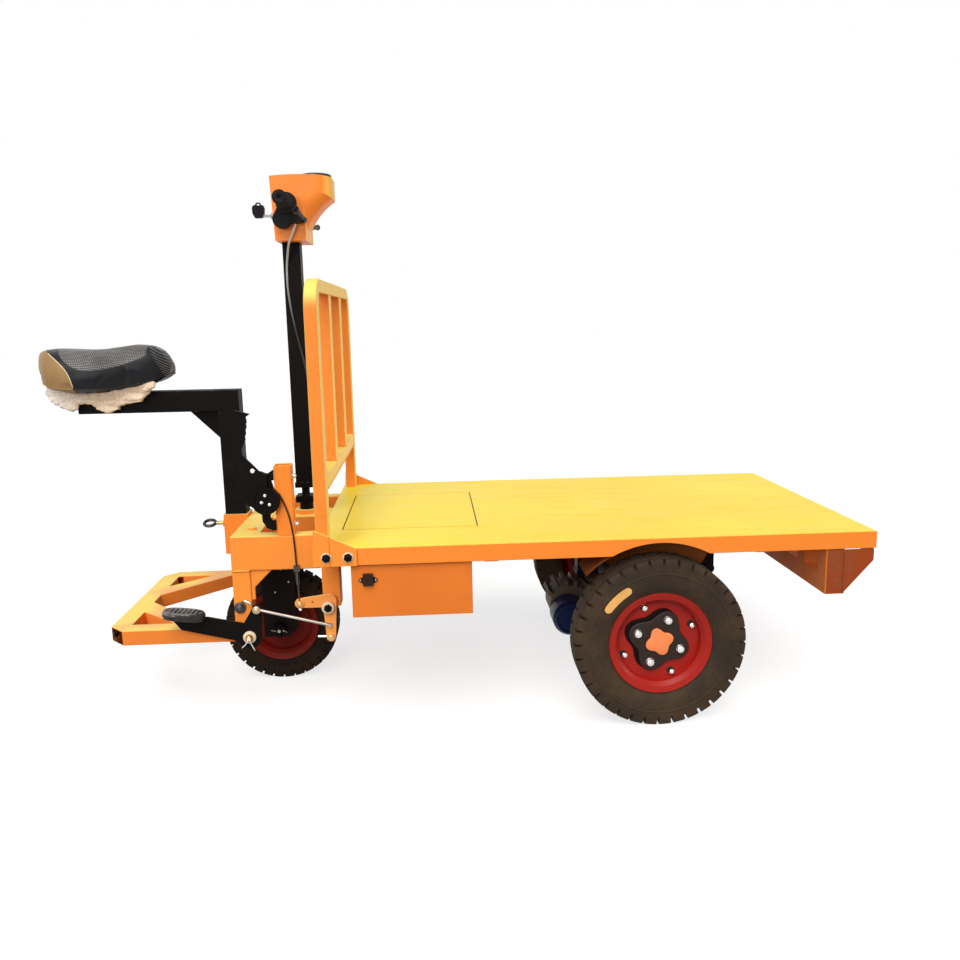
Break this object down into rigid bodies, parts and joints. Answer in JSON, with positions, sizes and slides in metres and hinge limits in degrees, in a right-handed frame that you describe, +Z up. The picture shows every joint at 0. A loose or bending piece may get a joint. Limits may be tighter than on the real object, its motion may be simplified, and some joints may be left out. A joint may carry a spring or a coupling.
{
  "type": "electric platform trolley",
  "caption": "Flatbed electric trolley with a steered front wheel on an upright column, driven rear wheels, a headboard and a saddle for its driver.",
  "frame": {"origin": "on the floor below the middle of the whole machine, half way between the saddle tail and the rear edge of the deck", "axes": "+X towards the load end of the deck, +Y to the left of the driver who faces it, +Z up"},
  "size_m": [2.331, 0.942, 1.519],
  "materials": {
    "orange_paint": "semi-gloss orange enamel",
    "deck_paint": "semi-gloss amber enamel with rub marks",
    "black_paint": "satin black enamel",
    "blue_paint": "gloss dark blue enamel",
    "red_paint": "gloss red enamel",
    "gear_case": "cast iron under thin brown primer",
    "tyre_rubber": "matt black tyre rubber",
    "cable_sheath": "black cable sheath",
    "steel": "zinc-plated steel",
    "housing": "moulded orange plastic",
    "black_plastic": "moulded black plastic",
    "rubber": "grey-black ribbed rubber",
    "vinyl": "black vinyl with fine ribs and a tan panel",
    "foam": "pale beige packing foam"
  },
  "bodies": {
    "chassis": {"deck_plate": "deck_paint", "deck_frame": "orange_paint", "battery_box": "orange_paint", "battery_block": "black_plastic", "charging_socket": "black_plastic", "rear_bumper": "orange_paint", "headboard_frame": "orange_paint", "headboard_bars": "orange_paint", "bracket_plate_right": "orange_paint", "bracket_plate_left": "orange_paint", "front_frame": "orange_paint", "head_beam": "orange_paint", "front_legs": "orange_paint", "step_frame": "orange_paint", "seat_socket": "orange_paint", "brake_pedal": "black_paint", "pedal_pad": "rubber", "bell_crank": "orange_paint", "tie_rod": "steel", "handbrake_post": "orange_paint", "handbrake_lever": "black_paint", "handbrake_cable": "cable_sheath", "rear_axle": "gear_case", "drive_motor": "blue_paint", "wheel_stub_right": "black_paint", "wheel_stub_left": "black_paint", "leaf_spring_right": "black_paint", "leaf_spring_left": "black_paint", "wheel_arch_right": "orange_paint", "wheel_arch_left": "orange_paint"},
    "hatch": {"hatch_lid": "deck_paint"},
    "seat": {"seat_post": "black_paint", "saddle": "vinyl", "saddle_wrap": "foam"},
    "steering": {"steering_fork": "black_paint", "front_axle": "steel", "steering_column": "black_paint", "control_head": "housing", "display": "black_plastic", "grip_right": "black_plastic", "grip_left": "black_plastic", "brake_levers": "black_plastic", "ignition_key": "steel", "brake_cable": "cable_sheath"},
    "front_wheel": {"front_tyre": "tyre_rubber", "front_rim": "red_paint"},
    "rear_wheel_right": {"rear_tyre_right": "tyre_rubber", "rear_rim_right": "red_paint", "wheel_hub_right": "black_paint"},
    "rear_wheel_left": {"rear_tyre_left": "tyre_rubber", "rear_rim_left": "red_paint", "wheel_hub_left": "black_paint"}
  },
  "joints": [
    {"name": "hatch_hinge", "type": "hinge", "parent": "chassis", "child": "hatch", "pos_m": [0.1035, 0, 0.521], "axis": [0, 1, 0], "range_deg": [0, 100]},
    {"name": "seat_height", "type": "slide", "parent": "chassis", "child": "seat", "axis": [0, 0, 1], "range_m": [-0.06, 0.06]},
    {"name": "steering_turn", "type": "hinge", "parent": "chassis", "child": "steering", "pos_m": [-0.4075, 0, 0.45], "axis": [0, 0, 1], "range_deg": [-60, 60]},
    {"name": "front_wheel_spin", "type": "hinge", "parent": "steering", "child": "front_wheel", "pos_m": [-0.4985, 0, 0.173], "axis": [0, 1, 0], "continuous": true},
    {"name": "rear_wheel_right_spin", "type": "hinge", "parent": "chassis", "child": "rear_wheel_right", "pos_m": [0.58, -0.421, 0.233], "axis": [0, 1, 0], "continuous": true},
    {"name": "rear_wheel_left_spin", "type": "hinge", "parent": "chassis", "child": "rear_wheel_left", "pos_m": [0.58, 0.421, 0.233], "axis": [0, 1, 0], "continuous": true}
  ]
}
